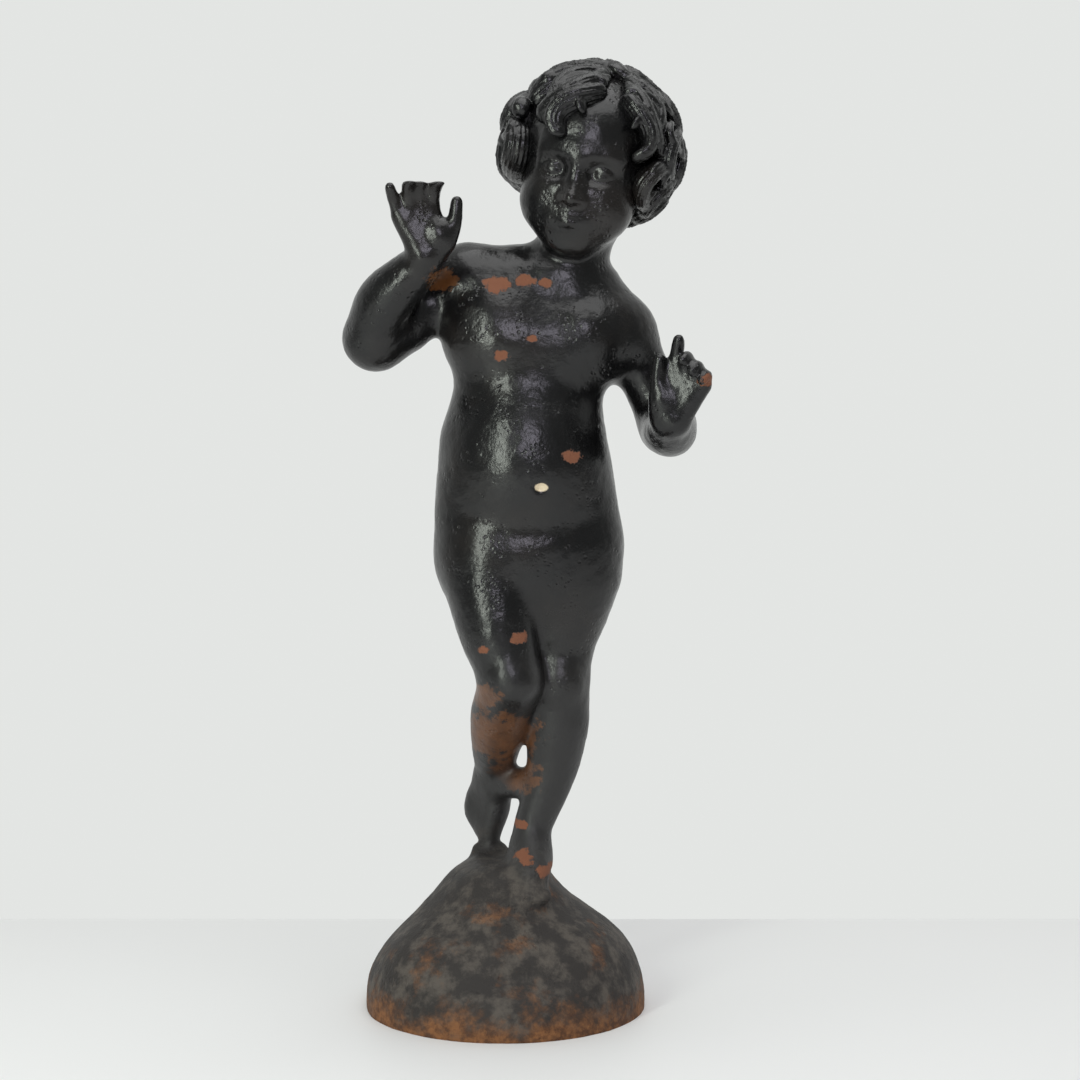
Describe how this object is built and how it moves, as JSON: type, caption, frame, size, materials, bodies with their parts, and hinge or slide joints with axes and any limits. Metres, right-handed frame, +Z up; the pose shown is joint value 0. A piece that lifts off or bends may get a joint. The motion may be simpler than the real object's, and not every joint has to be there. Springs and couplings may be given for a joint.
{
  "type": "garden statue",
  "caption": "Cast iron garden statue of a curly-haired child stepping on tiptoe on a rounded mound, one hand raised beside the head and the other held up in front.",
  "frame": {"origin": "centre of the mound's flat underside, which is what the statue stands on", "axes": "+Z up; the figure faces -Y; +X is to the viewer's right, on the side of the figure's left hand"},
  "size_m": [0.2876, 0.2257, 0.7569],
  "materials": {
    "painted_iron": "worn black paint, semi-gloss on the figure and dull, dusty and rusted on the mound"
  },
  "bodies": {
    "root": {"statue": "painted_iron"}
  },
  "joints": []
}
